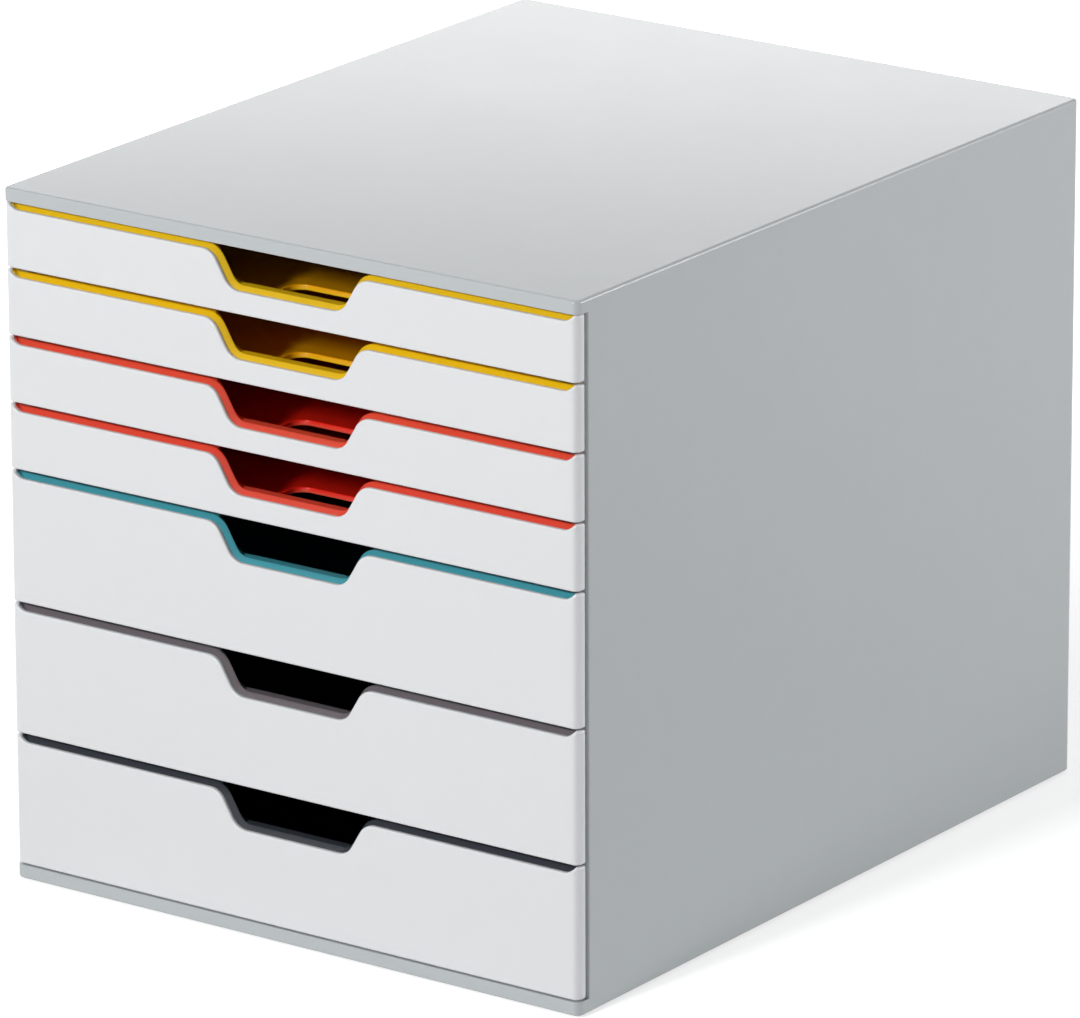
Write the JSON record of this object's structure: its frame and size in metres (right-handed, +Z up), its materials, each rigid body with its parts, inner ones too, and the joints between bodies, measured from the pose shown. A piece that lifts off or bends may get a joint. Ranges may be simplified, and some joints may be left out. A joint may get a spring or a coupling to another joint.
{
  "type": "plastic drawer tower",
  "caption": "Desktop drawer tower: a pale grey plastic housing with sliding coloured trays behind white fronts, each with a trapezoid finger cut-out and coloured rim.",
  "frame": {"origin": "centre of the footprint, on the surface that the tower stands on", "axes": "+Z up, -Y out of the drawer fronts, +X to the right of a person facing the fronts"},
  "size_m": [0.28, 0.356, 0.292],
  "materials": {
    "housing_grey": "satin moulded plastic, very fine grain",
    "runner_grey": "plain moulded plastic",
    "front_white": "smooth semi-gloss moulded plastic",
    "tray_yellow": "smooth semi-gloss moulded plastic",
    "tray_red": "smooth semi-gloss moulded plastic",
    "tray_teal": "smooth semi-gloss moulded plastic",
    "tray_taupe": "smooth semi-gloss moulded plastic",
    "tray_anthracite": "smooth semi-gloss moulded plastic",
    "foot_rubber": "matt rubber"
  },
  "bodies": {
    "housing": {"housing_shell": "housing_grey", "back_panel": "housing_grey", "left_runner_rack": "runner_grey", "right_runner_rack": "runner_grey", "foot_front_left": "foot_rubber", "foot_front_right": "foot_rubber", "foot_rear_left": "foot_rubber", "foot_rear_right": "foot_rubber"},
    "drawer_1": {"tray_1": "tray_yellow", "front_1": "front_white"},
    "drawer_2": {"tray_2": "tray_yellow", "front_2": "front_white"},
    "drawer_3": {"tray_3": "tray_red", "front_3": "front_white"},
    "drawer_4": {"tray_4": "tray_red", "front_4": "front_white"},
    "drawer_5": {"tray_5": "tray_teal", "front_5": "front_white"},
    "drawer_6": {"tray_6": "tray_taupe", "front_6": "front_white"},
    "drawer_7": {"tray_7": "tray_anthracite", "front_7": "front_white"}
  },
  "joints": [
    {"name": "drawer_1_slide", "type": "slide", "parent": "housing", "child": "drawer_1", "axis": [0, -1, 0], "range_m": [0, 0.25]},
    {"name": "drawer_2_slide", "type": "slide", "parent": "housing", "child": "drawer_2", "axis": [0, -1, 0], "range_m": [0, 0.25]},
    {"name": "drawer_3_slide", "type": "slide", "parent": "housing", "child": "drawer_3", "axis": [0, -1, 0], "range_m": [0, 0.25]},
    {"name": "drawer_4_slide", "type": "slide", "parent": "housing", "child": "drawer_4", "axis": [0, -1, 0], "range_m": [0, 0.25]},
    {"name": "drawer_5_slide", "type": "slide", "parent": "housing", "child": "drawer_5", "axis": [0, -1, 0], "range_m": [0, 0.25]},
    {"name": "drawer_6_slide", "type": "slide", "parent": "housing", "child": "drawer_6", "axis": [0, -1, 0], "range_m": [0, 0.25]},
    {"name": "drawer_7_slide", "type": "slide", "parent": "housing", "child": "drawer_7", "axis": [0, -1, 0], "range_m": [0, 0.25]}
  ]
}
